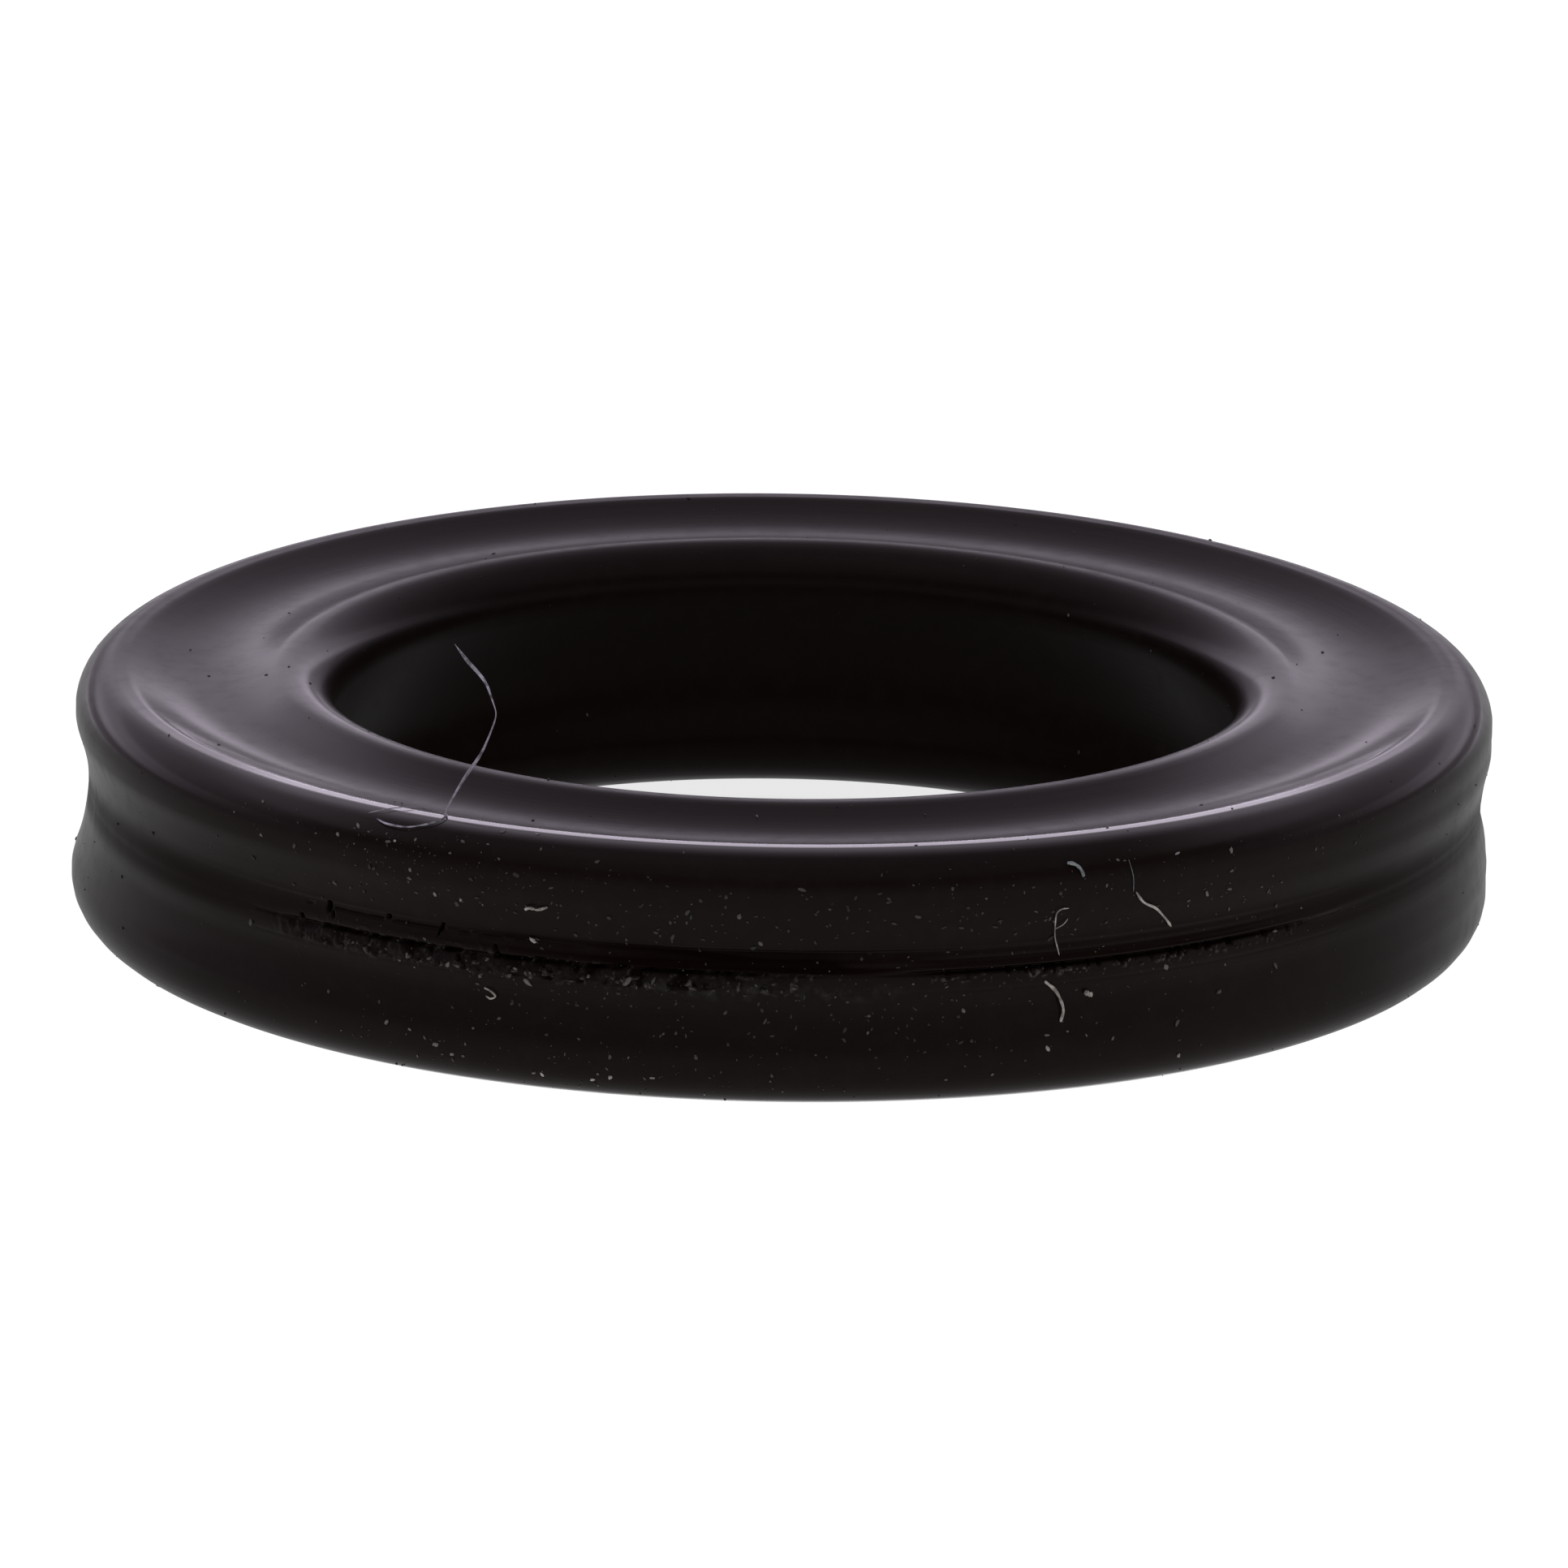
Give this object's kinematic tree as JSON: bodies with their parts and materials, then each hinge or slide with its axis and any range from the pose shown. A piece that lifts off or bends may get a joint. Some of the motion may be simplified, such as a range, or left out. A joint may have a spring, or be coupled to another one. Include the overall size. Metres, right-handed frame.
{
  "type": "quad ring seal",
  "caption": "Moulded rubber quad ring (X-ring) seal with a four-lobed section and a parting bead in its outer and inner hollows.",
  "frame": {"origin": "on the ring's axis, in the plane that its two lower lobes rest on", "axes": "+Z along the ring's axis, upwards; +X to the right and -Y towards the viewer"},
  "size_m": [0.0144, 0.0144, 0.0026],
  "materials": {
    "rubber": "satin black moulded nitrile rubber"
  },
  "bodies": {
    "root": {"quad_ring": "rubber"}
  },
  "joints": []
}
